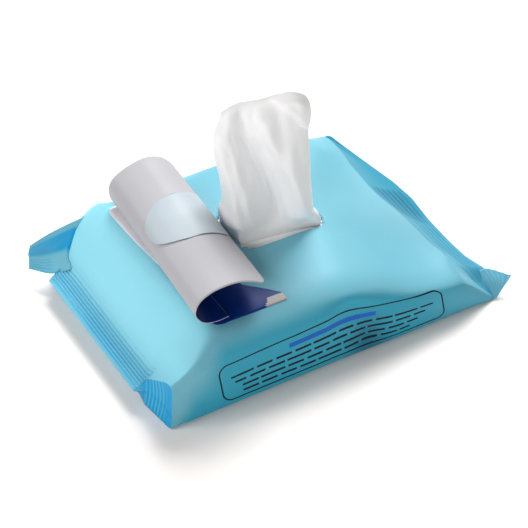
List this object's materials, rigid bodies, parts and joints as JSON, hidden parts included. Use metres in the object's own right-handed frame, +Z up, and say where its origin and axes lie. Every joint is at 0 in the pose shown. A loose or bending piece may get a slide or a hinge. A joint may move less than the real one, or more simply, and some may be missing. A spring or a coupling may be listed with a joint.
{
  "type": "wet wipes pack",
  "caption": "Soft film pack of folded wet wipes with crimped ends, an open curled peel label and one wipe pulled up through the opening.",
  "frame": {"origin": "on the ground under the middle of the whole object's box", "axes": "+X along the pack from the left end seal to the right one, +Y to the back, +Z up"},
  "size_m": [0.187, 0.123, 0.103],
  "materials": {
    "film": "satin printed film",
    "wipe": "damp soft nonwoven",
    "label_inside": "dark blue adhesive side",
    "label_outside": "satin white film",
    "cutout": "pale cut film"
  },
  "bodies": {
    "root": {"film_pack": "film", "folded_wipe_01": "wipe", "folded_wipe_02": "wipe", "folded_wipe_03": "wipe", "folded_wipe_04": "wipe", "folded_wipe_05": "wipe", "folded_wipe_06": "wipe", "folded_wipe_07": "wipe", "folded_wipe_08": "wipe", "folded_wipe_09": "wipe", "folded_wipe_10": "wipe", "folded_wipe_11": "wipe", "folded_wipe_12": "wipe", "folded_wipe_13": "wipe", "folded_wipe_14": "wipe", "raised_wipe": "wipe", "label_base": "label_inside", "label_flap": "label_outside", "film_cutout": "cutout"}
  },
  "joints": []
}
